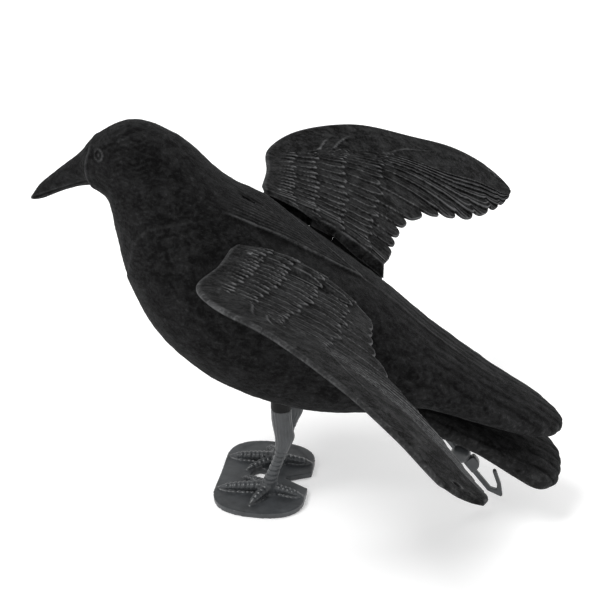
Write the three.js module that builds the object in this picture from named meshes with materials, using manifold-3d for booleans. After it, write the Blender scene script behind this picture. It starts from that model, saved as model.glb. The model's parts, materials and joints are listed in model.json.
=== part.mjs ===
// Motion wing decoy: a crow with a hollow two-piece body on a grey leg stand. Two wings hang on
// hinge pins inside the body. Pulling the rod under the tail lowers a crosshead, which tips the
// inner ends of the wing arms down and so lifts both wings together. A coil spring returns the rod.
//
// Millimetres. The bird faces -X, its left side is -Y, and +Z is up. The origin lies on the
// underside of the base plate, midway between the feet.

import * as THREE from 'three';
import { mergeVertices } from 'three/addons/utils/BufferGeometryUtils.js';
import Module from 'manifold-3d';

const wasm = await Module();
wasm.setup();

// ---------------------------------------------------------------- driving dimensions

const GAP = 0.3; // clearance between touching pieces
const WALL = { front: 3, rear: 1.5 }; // body shell wall, thinning towards the rump
const SIDES = [-1, 1]; // left (-Y) and right (+Y)
const SIDE_NAME = { '-1': 'left', 1: 'right' };

// Back and belly lines of head and body, with half width and section squareness at each station.
const BODY_STATIONS = [
  { top: [-172, 222.5], bottom: [-171, 219.5], half: 1.6, power: 2 },
  { top: [-164, 233.5], bottom: [-161, 221.5], half: 4.5, power: 2 },
  { top: [-148, 247], bottom: [-141, 230.5], half: 8.5, power: 2 },
  { top: [-133, 259], bottom: [-126, 234.5], half: 12.5, power: 2 },
  { top: [-122, 270.5], bottom: [-120, 233], half: 18.5, power: 2 },
  { top: [-95, 283], bottom: [-111, 225], half: 26, power: 2.05 },
  { top: [-63, 272], bottom: [-108.5, 207], half: 31.5, power: 2.1 },
  { top: [-33, 242.5], bottom: [-98, 169], half: 47, power: 2.3 },
  { top: [-2, 223], bottom: [-74, 130], half: 56, power: 2.5 },
  { top: [38, 195], bottom: [-32, 99], half: 57, power: 2.6 },
  { top: [78, 168.5], bottom: [23, 81.5], half: 50, power: 2.5 },
  { top: [102, 148.5], bottom: [72, 83], half: 44, power: 2.4 },
  { top: [121, 133.5], bottom: [108, 90], half: 39, power: 2.3 },
  { top: [156, 110], bottom: [149, 81], half: 32, power: 2.3 },
  { top: [185, 94.5], bottom: [181, 72], half: 25, power: 2.2 },
  { top: [202, 84], bottom: [199, 69], half: 15, power: 2 },
  { top: [208.5, 78], bottom: [207, 71], half: 5, power: 2 },
];
const BODY_HOLLOW = [0.3, 0.86]; // hollow stretch, as fractions along the stations
const TAIL_STATIONS = [
  { top: [75, 106], bottom: [62, 80], half: 22, power: 2.2 },
  { top: [115, 91.5], bottom: [106, 69.5], half: 26, power: 2.3 },
  { top: [153, 74], bottom: [146, 56], half: 27, power: 2.3 },
  { top: [181, 61], bottom: [174, 41], half: 29.5, power: 2.3 },
  { top: [199, 52.5], bottom: [193, 31.5], half: 30, power: 2.2 },
  { top: [208, 45.5], bottom: [204.5, 32], half: 22, power: 2 },
  { top: [210.5, 40.5], bottom: [209.5, 36.5], half: 7, power: 2 },
];
const TAIL_HOLLOW = [0.02, 0.78];
const BACK_SLOT = { x: -15.5, length: 9, width: 3, floor: 215, roof: 245 };

// Front and rear edges of the right wing's panel, root to tip.
const LEADING_EDGE = [
  [-17, 53, 219], [-19, 80, 219.5], [-24.5, 114, 222.5], [-9, 143, 226.5], [31, 171, 225],
  [75, 194, 209.5], [110, 214, 193], [139, 228, 172.5], [157, 222, 160],
];
const TRAILING_EDGE = [
  [75, 51, 171], [77, 72, 174.5], [82, 98, 177], [97, 126, 173], [112, 142, 166],
  [129, 160, 158], [144, 183, 155], [153, 198, 154.5], [160, 212, 156.5],
];
// Inner edge of the flap that lies over the flank, front to rear.
const SCAPULAR_EDGE = [
  [-14, 45.5, 218.5], [9, 39, 211.5], [28, 37, 203.5], [45, 37.5, 194], [61, 39.5, 181.5], [74, 43, 169],
];
const WING = { edge: 1.2, middle: 2.5, rootCamber: 4.5, camber: 8, wall: 1.5, wallDepth: 16 };

// Hinge frame: a tilted group whose X runs along both hinge pins.
const HINGE = { x: 24, z: 182, tilt: THREE.MathUtils.degToRad(25), y: 35 };
const PIN = { radius: 1.5, length: 28 };
const ARM = {
  barrelRadius: 3.6, halfWidth: 9.5, lever: 9.7, ballRadius: 2.3, neckRadius: 1.4,
  thickness: 2.4, elbow: [46.5, 4.6], shelf: [57, 15.2], end: [80, 15.2],
};
const FLAP = THREE.MathUtils.degToRad(24); // wing lift at full pull
const WING_SCREW = { y: 69, s: [-5, 5], shank: 1, head: 2.4, bossTop: 19.8, boreTop: 19.3 };

// Pull rod: a tilted group whose X runs down the rod, with its origin at the swivel.
const ROD = { x: 138.8, z: 41.9, tilt: THREE.MathUtils.degToRad(51), top: -196, width: 4.6, bore: 2.9 };
const TRAVEL = 9; // rod pull
const SLIDE_ALONG_HINGE = TRAVEL * Math.cos(ROD.tilt - HINGE.tilt);
const BULKHEAD = { at: -70.5, thickness: 3, height: 28, bore: 5.3 };
const SPRING = { collar: -110, collarThickness: 3, radius: 5, wire: 0.7, coils: 8 };
const SWIVEL = { radius: 7.3, seam: 5.8, pinRadius: 1.3 };

// Stand.
const PLATE = { front: -41, rear: 27.5, half: 47, corner: 25, thickness: 4, notch: 10, apex: 8 };
const PEG_HOLE = { x: -11, rx: 6.5, ry: 8 };
const LEG_Y = 19;
const LEG_TOP = { x: 9.5, z: 98, shoulder: 78.5, spigot: 5 };
const SOCKET = {
  outer: 7.5, bottom: 79, floor: 96, thickness: 4, front: 2.5, rear: 33, screwX: 28, screwY: 13,
};

// ---------------------------------------------------------------- solids and meshes

function toSolid(geometry) {
  let bare = geometry.clone();
  bare.deleteAttribute('normal');
  bare.deleteAttribute('uv');
  bare = mergeVertices(bare, 1e-4);
  return new wasm.Manifold(
    new wasm.Mesh({
      numProp: 3,
      vertProperties: new Float32Array(bare.attributes.position.array),
      triVerts: new Uint32Array(bare.index.array),
    }),
  );
}

function toGeometry(solid) {
  const { vertProperties, triVerts } = solid.getMesh();
  const geometry = new THREE.BufferGeometry();
  geometry.setAttribute('position', new THREE.BufferAttribute(vertProperties, 3));
  geometry.setIndex(new THREE.BufferAttribute(triVerts, 1));
  const faceted = geometry.toNonIndexed();
  faceted.computeVertexNormals();
  return faceted;
}

const union = (...solids) => solids.reduce((whole, next) => whole.add(next));
const cut = (solid, ...tools) => tools.reduce((rest, tool) => rest.subtract(tool), solid);

// A box given by its low and high corners.
function block([x0, y0, z0], [x1, y1, z1]) {
  const geometry = new THREE.BoxGeometry(x1 - x0, y1 - y0, z1 - z0);
  geometry.translate((x0 + x1) / 2, (y0 + y1) / 2, (z0 + z1) / 2);
  return toSolid(geometry);
}

// A cylinder along x, y or z, from one end to the other, through the point (a, b) of the other axes.
function rod(axis, from, to, radius, a = 0, b = 0, segments = 16) {
  const geometry = new THREE.CylinderGeometry(radius, radius, Math.abs(to - from), segments);
  const middle = (from + to) / 2;
  if (axis === 'x') {
    geometry.rotateZ(-Math.PI / 2);
    geometry.translate(middle, a, b);
  } else if (axis === 'y') {
    geometry.translate(a, middle, b);
  } else {
    geometry.rotateX(Math.PI / 2);
    geometry.translate(a, b, middle);
  }
  return toSolid(geometry);
}

// A closed skin over rings of equal point count, capped at both ends.
function loft(rings) {
  const count = rings[0].length;
  const positions = rings.flat().flatMap((p) => [p.x, p.y, p.z]);
  const index = [];
  for (let i = 0; i < rings.length - 1; i += 1) {
    for (let j = 0; j < count; j += 1) {
      const a = i * count + j;
      const b = i * count + ((j + 1) % count);
      index.push(a, b, a + count, b, b + count, a + count);
    }
  }
  [0, rings.length - 1].forEach((i) => {
    const middle = rings[i].reduce((sum, p) => sum.add(p), new THREE.Vector3()).divideScalar(count);
    const hub = positions.length / 3;
    positions.push(middle.x, middle.y, middle.z);
    for (let j = 0; j < count; j += 1) {
      const a = i * count + j;
      const b = i * count + ((j + 1) % count);
      index.push(...(i === 0 ? [hub, b, a] : [hub, a, b]));
    }
  });
  const geometry = new THREE.BufferGeometry();
  geometry.setAttribute('position', new THREE.Float32BufferAttribute(positions, 3));
  geometry.setIndex(index);
  return toSolid(geometry);
}

// A round bar through points, with a radius at each point.
function taperedBar(points, radii, segments = 6) {
  const rings = points.map((point, i) => {
    const before = points[Math.max(i - 1, 0)];
    const after = points[Math.min(i + 1, points.length - 1)];
    const along = after.clone().sub(before).normalize();
    const side = new THREE.Vector3(0, 0, 1).cross(along).normalize();
    const up = along.clone().cross(side);
    return Array.from({ length: segments }, (_, j) => {
      const angle = (2 * Math.PI * j) / segments;
      const offset = side.clone().multiplyScalar(Math.cos(angle));
      offset.addScaledVector(up, Math.sin(angle));
      return point.clone().addScaledVector(offset, radii[i]);
    });
  });
  return loft(rings);
}

function extrude(points, depth) {
  const shape = new THREE.Shape(points.map(([x, y]) => new THREE.Vector2(x, y)));
  return new THREE.ExtrudeGeometry(shape, { depth, bevelEnabled: false });
}

// An outline in the XZ plane, given depth along Y and centred on Y = 0.
function slabXZ(points, depth) {
  const geometry = extrude(points, depth);
  geometry.rotateX(Math.PI / 2);
  geometry.translate(0, depth / 2, 0);
  return toSolid(geometry);
}

// An outline in the YZ plane, given depth along X and centred on X = 0.
function slabYZ(points, depth) {
  const geometry = extrude(points, depth);
  geometry.rotateX(Math.PI / 2);
  geometry.rotateZ(Math.PI / 2);
  geometry.translate(-depth / 2, 0, 0);
  return toSolid(geometry);
}

function material(color, roughness, metalness = 0) {
  return new THREE.MeshStandardMaterial({ color, roughness, metalness });
}

const FLOCK = material('#18191b', 1);
const GREY_PLASTIC = material('#4e5256', 0.55);
const BLACK_PLASTIC = material('#141416', 0.6);
const WHITE_PLASTIC = material('#c9c8c2', 0.45);
const STEEL = material('#9a9c9e', 0.35, 1);

const decoy = new THREE.Group();
const hingeGroup = new THREE.Group();
hingeGroup.position.set(HINGE.x, 0, HINGE.z);
hingeGroup.rotation.y = HINGE.tilt;
const rodGroup = new THREE.Group();
rodGroup.position.set(ROD.x, 0, ROD.z);
rodGroup.rotation.y = ROD.tilt;
decoy.add(hingeGroup, rodGroup);
decoy.updateMatrixWorld(true);

function addPart(group, name, solid, finish) {
  const mesh = new THREE.Mesh(toGeometry(solid), finish);
  mesh.name = name;
  group.add(mesh);
}

// A solid of a tilted group, moved to the decoy's own frame or on into another group.
function moved(solid, from, to = decoy) {
  const matrix = to.matrixWorld.clone().invert().multiply(from.matrixWorld);
  const geometry = toGeometry(solid);
  geometry.applyMatrix4(matrix);
  return toSolid(geometry);
}

// ---------------------------------------------------------------- body

// A skin through stations. Its inset from the outer surface goes from front to rear.
function skin(stations, slices, segments, [frontInset, rearInset] = [0, 0], [start, end] = [0, 1]) {
  const line = (pick) => new THREE.CatmullRomCurve3(stations.map(pick), false, 'catmullrom', 0.5);
  const top = line(({ top: [x, z] }) => new THREE.Vector3(x, 0, z));
  const bottom = line(({ bottom: [x, z] }) => new THREE.Vector3(x, 0, z));
  const breadth = line(({ half, power }) => new THREE.Vector3(half, power, 0));
  const rings = Array.from({ length: slices + 1 }, (_, i) => {
    const t = start + ((end - start) * i) / slices;
    const high = top.getPoint(t);
    const low = bottom.getPoint(t);
    const { x: half, y: power } = breadth.getPoint(t);
    const middle = high.clone().add(low).multiplyScalar(0.5);
    const inset = THREE.MathUtils.lerp(frontInset, rearInset, (t - start) / (end - start));
    const up = high.clone().sub(middle);
    up.setLength(up.length() - inset);
    return Array.from({ length: segments }, (_unused, j) => {
      const angle = (2 * Math.PI * (j + 0.5)) / segments;
      const rise = Math.sign(Math.sin(angle)) * Math.abs(Math.sin(angle)) ** (2 / power);
      const spread = Math.sign(Math.cos(angle)) * Math.abs(Math.cos(angle)) ** (2 / power);
      const point = middle.clone().addScaledVector(up, rise);
      point.y = spread * (half - inset);
      return point;
    });
  });
  return loft(rings);
}

// The wedge that a wing arm sweeps through the flank, in the hinge frame.
function armSweep(side) {
  const rest = Math.atan2(ARM.elbow[1], ARM.elbow[0] - HINGE.y);
  const from = rest - THREE.MathUtils.degToRad(31);
  const to = rest + FLAP + THREE.MathUtils.degToRad(14);
  const arc = Array.from({ length: 7 }, (_, i) => {
    const angle = from + ((to - from) * i) / 6;
    return [side * (HINGE.y + 30 * Math.cos(angle)), 30 * Math.sin(angle)];
  });
  const reach = ARM.halfWidth + 1.3;
  const wedge = slabYZ([[side * (HINGE.y - 1.5), 0], ...arc], 2 * reach);
  return wedge.add(rod('x', -reach, reach, ARM.barrelRadius + 0.8, side * HINGE.y, 0));
}

// Where the mechanism frame meets the shell bosses, in the hinge frame.
const EAR = { s: [-19, 19], q: -18.5, inner: 38, outer: 40.5 };

function shellBosses(side) {
  const frameBosses = EAR.s.map((s) => rod('y', side * (EAR.outer + GAP), side * 70, 4.5, s, EAR.q));
  const bosses = frameBosses.map((boss) => moved(boss, hingeGroup));
  const strap = block(
    [BULKHEAD.at - BULKHEAD.thickness / 2, Math.min(0, side * 70), -BULKHEAD.height / 2],
    [BULKHEAD.at + BULKHEAD.thickness / 2, Math.max(0, side * 70), BULKHEAD.height / 2],
  );
  bosses.push(moved(strap, rodGroup));
  bosses.push(rod('z', 60, SOCKET.floor - GAP, 4, SOCKET.screwX, side * SOCKET.screwY));
  return union(...bosses);
}

function shellBores(side) {
  const frameBore = side < 0 ? 1.6 : 2.5;
  const bores = EAR.s.map((s) => {
    return moved(rod('y', side * EAR.inner, side * (EAR.outer + 9), frameBore, s, EAR.q), hingeGroup);
  });
  const screwPlace = [SOCKET.screwX, side * SOCKET.screwY];
  const socketBore = rod('z', SOCKET.floor - 6.5, SOCKET.floor + 1, 1.6, ...screwPlace);
  const guideBore = rod('x', BULKHEAD.at - 6, BULKHEAD.at + 6, BULKHEAD.bore);
  const rodOutlet = rod('x', BULKHEAD.at + 10, -5, ROD.bore + 1.2);
  bores.push(socketBore, moved(guideBore, rodGroup), moved(rodOutlet, rodGroup));
  bores.push(rod('z', 60, SOCKET.floor - 1, SOCKET.outer + GAP, LEG_TOP.x, side * LEG_Y, 24));
  bores.push(moved(armSweep(side), hingeGroup));
  return union(...bores);
}

// The cavity of the body and tail. At depth 1 it follows the wall's inner face, at 0 its outer face.
function cavity(depth) {
  const { front, rear } = WALL;
  return union(
    skin(BODY_STATIONS, 18, 16, [front * depth, rear * depth], BODY_HOLLOW),
    skin(TAIL_STATIONS, 7, 12, [rear * depth, rear * depth], TAIL_HOLLOW),
  );
}

const bodyOuter = union(skin(BODY_STATIONS, 28, 20), skin(TAIL_STATIONS, 10, 16));
const bodyInner = cavity(1);
const wallMiddle = cavity(0.5);
const backSlot = block(
  [BACK_SLOT.x - BACK_SLOT.length / 2, -BACK_SLOT.width / 2, BACK_SLOT.floor],
  [BACK_SLOT.x + BACK_SLOT.length / 2, BACK_SLOT.width / 2, BACK_SLOT.roof],
);

SIDES.forEach((side) => {
  const halfSpace = block(
    [-300, side < 0 ? -200 : GAP / 2, 0],
    [300, side < 0 ? -GAP / 2 : 200, 400],
  );
  const hollow = cut(bodyOuter, bodyInner);
  const bosses = shellBosses(side).intersect(wallMiddle);
  const shell = cut(union(hollow, bosses), shellBores(side), backSlot).intersect(halfSpace);
  addPart(decoy, `body_shell_${SIDE_NAME[side]}`, shell, FLOCK);
});

// ---------------------------------------------------------------- stand and leg socket

function basePlate() {
  const { front, rear, half, corner, thickness, notch, apex } = PLATE;
  const shape = new THREE.Shape();
  shape.moveTo(front, corner - half);
  shape.quadraticCurveTo(front, -half, -8, -half);
  shape.quadraticCurveTo(rear, -half, rear, corner - half);
  shape.lineTo(rear, -notch);
  shape.lineTo(apex, 0);
  shape.lineTo(rear, notch);
  shape.lineTo(rear, half - corner);
  shape.quadraticCurveTo(rear, half, -8, half);
  shape.quadraticCurveTo(front, half, front, half - corner);
  shape.closePath();
  const hole = new THREE.Path();
  hole.absellipse(PEG_HOLE.x, 0, PEG_HOLE.rx, PEG_HOLE.ry, 0, 2 * Math.PI, true);
  shape.holes.push(hole);
  const options = { depth: thickness, bevelEnabled: false, curveSegments: 9 };
  return toSolid(new THREE.ExtrudeGeometry(shape, options));
}

function leg(side) {
  const stations = [
    [0.5, 2, 6, 6], [0.8, 14, 5.4, 5.2], [3.5, 23.5, 4.4, 4.2], [8.6, 38, 4.3, 4.3],
    [10.5, 46, 5.4, 5], [12, 54.5, 7.1, 5.8], [10.8, 62, 7.2, 6], [LEG_TOP.x, LEG_TOP.shoulder, 7.2, 6.2],
    [LEG_TOP.x, LEG_TOP.shoulder + 0.2, LEG_TOP.spigot, LEG_TOP.spigot],
    [LEG_TOP.x, LEG_TOP.z, LEG_TOP.spigot, LEG_TOP.spigot],
  ];
  const segments = 12;
  const rings = stations.map(([x, z, halfX, halfY]) => {
    return Array.from({ length: segments }, (_, j) => {
      const angle = (2 * Math.PI * j) / segments;
      return new THREE.Vector3(x + halfX * Math.cos(angle), side * LEG_Y + halfY * Math.sin(angle), z);
    });
  });
  return loft(rings);
}

function toes(side) {
  const tips = [[-38, 21, 4.4], [-22.5, 4.8, 3.8], [-11, 38, 4.2], [25.5, 21.5, 3.6]];
  return union(...tips.map(([x, y, thick]) => {
    const start = new THREE.Vector3(0, side * LEG_Y, 9);
    const tip = new THREE.Vector3(x, side * y, PLATE.thickness + 0.4);
    const knuckle = start.clone().lerp(tip, 0.5);
    knuckle.z = PLATE.thickness + 3.6;
    const nail = start.clone().lerp(tip, 0.85);
    nail.z = PLATE.thickness + 1.8;
    return taperedBar([start, knuckle, nail, tip], [thick, thick * 0.8, thick * 0.55, thick * 0.3]);
  }));
}

const standPieces = SIDES.flatMap((side) => [leg(side), toes(side)]);
addPart(decoy, 'leg_stand', union(basePlate(), ...standPieces), GREY_PLASTIC);

function legSocket() {
  const { outer, bottom, floor, thickness, front, rear, screwX, screwY } = SOCKET;
  const web = block([front, -LEG_Y - 8, floor], [rear, LEG_Y + 8, floor + thickness]);
  const collars = SIDES.map((side) => rod('z', bottom, LEG_TOP.z + 3, outer, LEG_TOP.x, side * LEG_Y, 24));
  const bores = SIDES.flatMap((side) => [
    rod('z', bottom - 1, LEG_TOP.z + GAP, LEG_TOP.spigot + GAP + 0.1, LEG_TOP.x, side * LEG_Y, 24),
    rod('z', floor - 1, floor + thickness + 1, 1.6, screwX, side * screwY),
  ]);
  return cut(union(web, ...collars), ...bores);
}
addPart(decoy, 'leg_socket', legSocket(), BLACK_PLASTIC);

SIDES.forEach((side) => {
  const top = SOCKET.floor + SOCKET.thickness + GAP;
  const head = rod('z', top, top + 2, 3, SOCKET.screwX, side * SOCKET.screwY, 12);
  const shank = rod('z', top - 10, top + 1, 1.3, SOCKET.screwX, side * SOCKET.screwY, 10);
  addPart(decoy, `socket_screw_${SIDE_NAME[side]}`, union(head, shank), STEEL);
});

// ---------------------------------------------------------------- mechanism frame and hinge pins

const LUG = { from: 10, to: 12.8, radius: 3.9 };
const FRAME_FLOOR = { low: -13.8, high: -11.2 };

function mechanismFrame() {
  const pieces = [block([-23, -EAR.outer, FRAME_FLOOR.low], [14, EAR.outer, FRAME_FLOOR.high])];
  const bores = [];
  SIDES.forEach((side) => {
    const y = side * HINGE.y;
    [-1, 1].forEach((end) => {
      const near = Math.min(end * LUG.from, end * LUG.to);
      const far = Math.max(end * LUG.from, end * LUG.to);
      pieces.push(rod('x', near, far, LUG.radius, y, 0, 20));
      pieces.push(block([near, y - LUG.radius, FRAME_FLOOR.low], [far, y + LUG.radius, 0]));
    });
    bores.push(rod('x', -20, 20, PIN.radius + GAP, y, 0));
    EAR.s.forEach((s) => {
      const y0 = Math.min(side * EAR.inner, side * EAR.outer);
      pieces.push(block([s - 5, y0, EAR.q - 4], [s + 5, y0 + EAR.outer - EAR.inner, FRAME_FLOOR.high]));
    });
  });
  pieces.push(block([13, -EAR.outer, FRAME_FLOOR.low], [24, -EAR.inner, FRAME_FLOOR.high]));
  pieces.push(block([13, EAR.inner, FRAME_FLOOR.low], [24, EAR.outer, FRAME_FLOOR.high]));
  EAR.s.forEach((s) => {
    pieces.push(rod('y', EAR.inner + 1, EAR.outer + 6, 2.2, s, EAR.q));
    bores.push(rod('y', -EAR.outer - 1, -EAR.inner + 1, 1.6, s, EAR.q));
  });
  return cut(union(...pieces), ...bores);
}
addPart(hingeGroup, 'mechanism_frame', mechanismFrame(), WHITE_PLASTIC);

EAR.s.forEach((s, i) => {
  const seat = -EAR.inner + GAP;
  const head = rod('y', seat, seat + 2, 3, s, EAR.q, 12);
  const shank = rod('y', seat - 10, seat + 1, 1.3, s, EAR.q, 10);
  addPart(hingeGroup, `frame_screw_${i + 1}`, union(head, shank), STEEL);
});

SIDES.forEach((side) => {
  const pin = rod('x', -PIN.length / 2, PIN.length / 2, PIN.radius, side * HINGE.y, 0, 14);
  addPart(hingeGroup, `hinge_pin_${SIDE_NAME[side]}`, pin, STEEL);
});

// ---------------------------------------------------------------- wings and wing arms

// The bent blade of a wing arm, from barrel to shelf, thickened by grow on its faces and edges.
function armBlade(side, grow = 0) {
  const { halfWidth, thickness, elbow, shelf, end } = ARM;
  const y = (value) => side * value;
  const t = thickness / 2 + grow;
  return slabYZ([
    [y(HINGE.y), -1.5 - grow], [y(HINGE.y + 3), -1.5 - grow], [y(elbow[0] + 1), elbow[1] - t],
    [y(shelf[0] + 0.8), shelf[1] - t], [y(end[0] + grow), end[1] - t], [y(end[0] + grow), end[1] + t],
    [y(shelf[0] - 0.8), shelf[1] + t], [y(elbow[0] - 1), elbow[1] + t], [y(HINGE.y), 2.4 + grow],
  ], 2 * (halfWidth + grow));
}

function wingArm(side) {
  const { barrelRadius, halfWidth, lever, ballRadius, neckRadius } = ARM;
  const y = (value) => side * value;
  const ball = new THREE.SphereGeometry(ballRadius, 12, 8);
  ball.translate(0, y(HINGE.y - lever), 0);
  const bores = [rod('x', -20, 20, PIN.radius + GAP, y(HINGE.y), 0)];
  WING_SCREW.s.forEach((s) => bores.push(rod('z', 0, 30, WING_SCREW.shank + GAP, s, y(WING_SCREW.y))));
  const barrel = rod('x', -halfWidth, halfWidth, barrelRadius, y(HINGE.y), 0, 20);
  const neck = rod('y', y(HINGE.y - lever), y(HINGE.y - 1), neckRadius, 0, 0, 12);
  return cut(union(barrel, neck, toSolid(ball), armBlade(side)), ...bores);
}

function wing(side) {
  const curve = (points) => {
    return new THREE.CatmullRomCurve3(points.map(([x, y, z]) => new THREE.Vector3(x, side * y, z)));
  };
  const leading = curve(LEADING_EDGE);
  const trailing = curve(TRAILING_EDGE);
  const inner = curve(SCAPULAR_EDGE);
  const centre = (u, v) => {
    const camber = THREE.MathUtils.lerp(WING.rootCamber, WING.camber, Math.min(1, 3 * u)) * (1 - u ** 3);
    const place = leading.getPoint(u).lerp(trailing.getPoint(u), v);
    place.z += camber * 4 * v * (1 - v);
    return place;
  };
  const chords = 7;
  const section = (place, middle, edge = WING.edge) => {
    const point = (j, face) => {
      const v = j / chords;
      const spot = place(v);
      spot.z += (face * THREE.MathUtils.lerp(edge, middle, 4 * v * (1 - v))) / 2;
      return spot;
    };
    const upper = Array.from({ length: chords + 1 }, (_, j) => point(j, 1));
    const lower = Array.from({ length: chords + 1 }, (_, j) => point(chords - j, -1));
    return [...upper, ...lower];
  };
  const flapRings = [1, 0.5].map((w) => {
    const middle = THREE.MathUtils.lerp(WING.middle, WING.edge, w);
    return section((v) => centre(0, v).lerp(inner.getPoint(v), w), middle);
  });
  const spans = 14;
  const panelRings = Array.from({ length: spans + 1 }, (_, i) => {
    const u = i / spans;
    return section((v) => centre(u, v), THREE.MathUtils.lerp(WING.middle, WING.edge, 0.6 * u));
  });
  const wallRings = Array.from({ length: chords + 1 }, (_, j) => {
    const v = THREE.MathUtils.lerp(0.04, 0.96, j / chords);
    const spot = centre(0, v).lerp(inner.getPoint(v), 0.25);
    const half = WING.wall / 2;
    const corners = [[-half, 0], [-half, -WING.wallDepth], [half, -WING.wallDepth], [half, 0]];
    return corners.map(([dy, dz]) => new THREE.Vector3(spot.x, spot.y + side * dy, spot.z + dz));
  });
  const sheet = (rings) => loft(side > 0 ? rings : rings.map((ring) => ring.toReversed()));
  const sheets = union(sheet([...flapRings, ...panelRings]), sheet(wallRings));
  const panel = cut(sheets, moved(armBlade(side, GAP + 0.1), hingeGroup));
  const bossFoot = ARM.shelf[1] + ARM.thickness / 2 + GAP;
  const post = (from, to, radius) => {
    return WING_SCREW.s.map((s) => moved(rod('z', from, to, radius, s, side * WING_SCREW.y), hingeGroup));
  };
  const bosses = post(bossFoot, WING_SCREW.bossTop, 3.4);
  const bores = post(0, WING_SCREW.boreTop, WING_SCREW.shank + GAP);
  return cut(union(panel, ...bosses), ...bores);
}

SIDES.forEach((side) => {
  const name = SIDE_NAME[side];
  addPart(decoy, `wing_${name}`, wing(side), FLOCK);
  addPart(hingeGroup, `wing_arm_${name}`, wingArm(side), BLACK_PLASTIC);
  WING_SCREW.s.forEach((s, i) => {
    const seat = ARM.shelf[1] - ARM.thickness / 2 - GAP;
    const head = rod('z', seat - 1.6, seat, WING_SCREW.head, s, side * WING_SCREW.y, 12);
    const tip = WING_SCREW.boreTop - GAP;
    const shank = rod('z', seat - 1, tip, WING_SCREW.shank, s, side * WING_SCREW.y, 10);
    addPart(hingeGroup, `wing_screw_${name}_${i + 1}`, union(head, shank), STEEL);
  });
});

// ---------------------------------------------------------------- pull rod, crosshead and spring

// Section of the rod: a flat bar with a rib down each face, extruded along the rod.
function ribbedBar(from, to) {
  const half = ROD.width / 2;
  const bar = block([from, -1.1, -half], [to, 1.1, half]);
  const rib = block([from, -2, -0.8], [to, 2, 0.8]);
  return union(bar, rib);
}

const CROSS = { at: -187, s: -SLIDE_ALONG_HINGE / 2, blockIn: 22, blockOut: 28.5, height: 4.5, half: 8 };
const crossPinBore = rod('y', -10, 10, 1.2, CROSS.at, 0, 12);

function crosshead() {
  const { s, blockIn, blockOut, height, half } = CROSS;
  const groove = ARM.ballRadius + GAP + 0.05;
  const bar = block([s - 4, -blockIn - 1, -2.6], [s + 4, blockIn + 1, 2.6]);
  const ends = SIDES.map((side) => {
    const y0 = Math.min(side * blockIn, side * blockOut);
    return block([s - half, y0, -height], [s + half, y0 + blockOut - blockIn, height]);
  });
  const grooves = SIDES.map((side) => {
    const floor = HINGE.y - ARM.lever - groove;
    const y0 = side > 0 ? floor : -floor - 10;
    return block([s - half - 1, y0, -groove], [s + half + 1, y0 + 10, groove]);
  });
  const hub = rod('x', CROSS.at - 7, CROSS.at + 7, 5, 0, 0, 20);
  const tee = moved(cut(union(bar, ...ends), ...grooves), hingeGroup, rodGroup);
  return cut(union(tee, hub), rod('x', CROSS.at - 20, CROSS.at + 20, ROD.bore, 0, 0), crossPinBore);
}
addPart(rodGroup, 'crosshead', crosshead(), WHITE_PLASTIC);
addPart(rodGroup, 'crosshead_pin', rod('y', -4.6, 4.6, 0.9, CROSS.at, 0, 12), STEEL);

const SWIVEL_BORE = SWIVEL.pinRadius + GAP;
const rodBar = cut(ribbedBar(ROD.top, -SWIVEL.radius - GAP), crossPinBore);
addPart(rodGroup, 'pull_rod', rodBar, GREY_PLASTIC);

function rodGuide() {
  const face = BULKHEAD.at - BULKHEAD.thickness / 2 - GAP;
  const flange = rod('x', face - 2, face, 8, 0, 0, 20);
  const sleeve = rod('x', face - 1, face + 10, BULKHEAD.bore - GAP, 0, 0, 20);
  return cut(union(flange, sleeve), rod('x', face - 10, face + 20, ROD.bore));
}
addPart(rodGroup, 'rod_guide', rodGuide(), WHITE_PLASTIC);

const collarEnd = SPRING.collar + SPRING.collarThickness;
const collar = rod('x', SPRING.collar, collarEnd, 7, 0, 0, 20);
const collarBore = rod('x', SPRING.collar - 1, collarEnd + 1, ROD.bore);
addPart(rodGroup, 'spring_collar', cut(collar, collarBore), WHITE_PLASTIC);

class Coil extends THREE.Curve {
  getPoint(t, target = new THREE.Vector3()) {
    const from = collarEnd + GAP + SPRING.wire;
    const to = BULKHEAD.at - BULKHEAD.thickness / 2 - 2 - 2 * GAP - SPRING.wire;
    const angle = 2 * Math.PI * SPRING.coils * t;
    const [y, z] = [SPRING.radius * Math.cos(angle), SPRING.radius * Math.sin(angle)];
    return target.set(from + (to - from) * t, y, z);
  }
}

function returnSpring() {
  const wire = Array.from({ length: 5 }, (_, i) => {
    const angle = (2 * Math.PI * i) / 5;
    return new THREE.Vector2(SPRING.wire * Math.cos(angle), SPRING.wire * Math.sin(angle));
  });
  const steps = SPRING.coils * 9;
  const options = { steps, extrudePath: new Coil(), bevelEnabled: false };
  return toSolid(new THREE.ExtrudeGeometry(new THREE.Shape(wire), options));
}
addPart(rodGroup, 'return_spring', returnSpring(), STEEL);

// ---------------------------------------------------------------- swivel and hook

function ballPart(from, to) {
  const ball = new THREE.SphereGeometry(SWIVEL.radius, 16, 12);
  return toSolid(ball).intersect(block([from, -10, -10], [to, 10, 10]));
}

const housing = cut(ballPart(-SWIVEL.radius, SWIVEL.seam), rod('x', 0, 10, SWIVEL_BORE, 0, 0, 12));
addPart(rodGroup, 'swivel_housing', housing, GREY_PLASTIC);
addPart(rodGroup, 'swivel_pin', rod('x', 0.4, 12, SWIVEL.pinRadius, 0, 0, 12), STEEL);

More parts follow.
